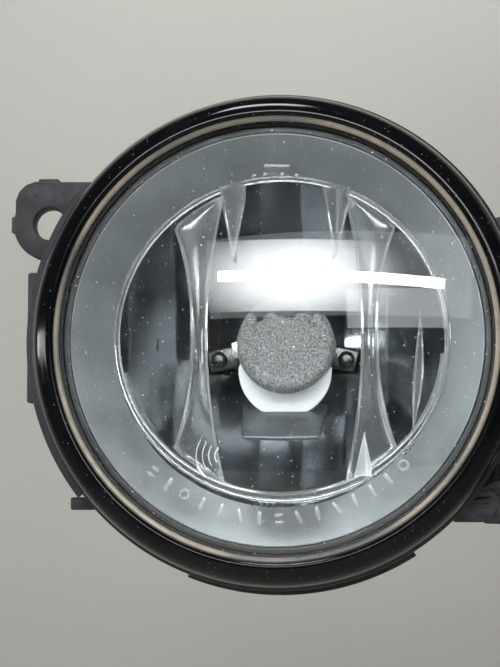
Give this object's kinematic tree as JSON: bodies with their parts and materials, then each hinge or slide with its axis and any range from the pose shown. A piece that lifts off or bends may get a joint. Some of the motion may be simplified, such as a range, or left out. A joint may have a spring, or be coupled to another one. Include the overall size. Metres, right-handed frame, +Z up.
{
  "type": "fog light",
  "caption": "Round automotive fog light: fluted glass, mirrored reflector with bulb shield, glossy bezel, tilting housing in a two-ear carrier, aiming screw and bayonet bulb.",
  "frame": {"origin": "point on the optical axis in the plane of the two mounting ears' front faces", "axes": "-Y out of the glass along the beam, +Y towards the bulb's connector, +X to the right seen from the front, +Z up as mounted in the vehicle"},
  "size_m": [0.1216, 0.0695, 0.1037],
  "materials": {
    "bezel_ring": "glossy moulded plastic",
    "lens": "clear pressed glass with moulded flutes",
    "lens_gasket": "soft black seal",
    "housing": "fine-grained moulded plastic",
    "reflector": "metallised bowl with a satin edge",
    "bulb_shield": "grey matt coated sheet metal",
    "shield_rivet_left": "plain steel",
    "shield_rivet_right": "plain steel",
    "vent_cap": "soft black rubber",
    "bulb_base": "moulded plastic",
    "bulb_seal": "orange silicone",
    "bulb_clamp": "pressed steel",
    "bulb_glass": "clear glass with a dark tip",
    "filament": "tungsten coil",
    "lead_front": "drawn wire",
    "lead_rear": "drawn wire",
    "terminal_left": "tinned brass",
    "terminal_right": "tinned brass",
    "carrier": "coarse matt moulded plastic",
    "pivot_bush_left": "natural nylon",
    "pivot_bush_right": "natural nylon",
    "adjuster_screw": "zinc-plated steel",
    "adjuster_knob": "natural nylon",
    "adjuster_retainer": "spring steel",
    "adjuster_nut": "natural nylon"
  },
  "bodies": {
    "carrier": {"carrier": "carrier", "pivot_bush_left": "pivot_bush_left", "pivot_bush_right": "pivot_bush_right"},
    "lamp_unit": {"bezel_ring": "bezel_ring", "lens": "lens", "lens_gasket": "lens_gasket", "housing": "housing", "reflector": "reflector", "bulb_shield": "bulb_shield", "shield_rivet_left": "shield_rivet_left", "shield_rivet_right": "shield_rivet_right", "vent_cap": "vent_cap"},
    "bulb": {"bulb_base": "bulb_base", "bulb_seal": "bulb_seal", "bulb_clamp": "bulb_clamp", "bulb_glass": "bulb_glass", "filament": "filament", "lead_front": "lead_front", "lead_rear": "lead_rear", "terminal_left": "terminal_left", "terminal_right": "terminal_right"},
    "adjuster": {"adjuster_screw": "adjuster_screw", "adjuster_knob": "adjuster_knob", "adjuster_retainer": "adjuster_retainer"},
    "adjuster_nut": {"adjuster_nut": "adjuster_nut"}
  },
  "joints": [
    {"name": "lamp_tilt", "type": "hinge", "parent": "carrier", "child": "lamp_unit", "pos_m": [0, 0.003, 0], "axis": [1, 0, 0], "range_deg": [-3, 3]},
    {"name": "bulb_twist", "type": "hinge", "parent": "lamp_unit", "child": "bulb", "pos_m": [0, 0.022, 0], "axis": [0, -1, 0], "range_deg": [0, 45]},
    {"name": "adjuster_spin", "type": "hinge", "parent": "carrier", "child": "adjuster", "pos_m": [0.0525, 0, 0.021], "axis": [0, 1, 0], "range_deg": [-318, 318]},
    {"name": "adjuster_nut_slide", "type": "slide", "parent": "carrier", "child": "adjuster_nut", "axis": [0, 1, 0], "range_m": [-0.0012, 0.0012]}
  ],
  "couplings": [
    {"joint": "adjuster_spin", "follows": "lamp_tilt", "ratio": 105.56},
    {"joint": "adjuster_nut_slide", "follows": "lamp_tilt", "m_per_rad": -0.021}
  ]
}
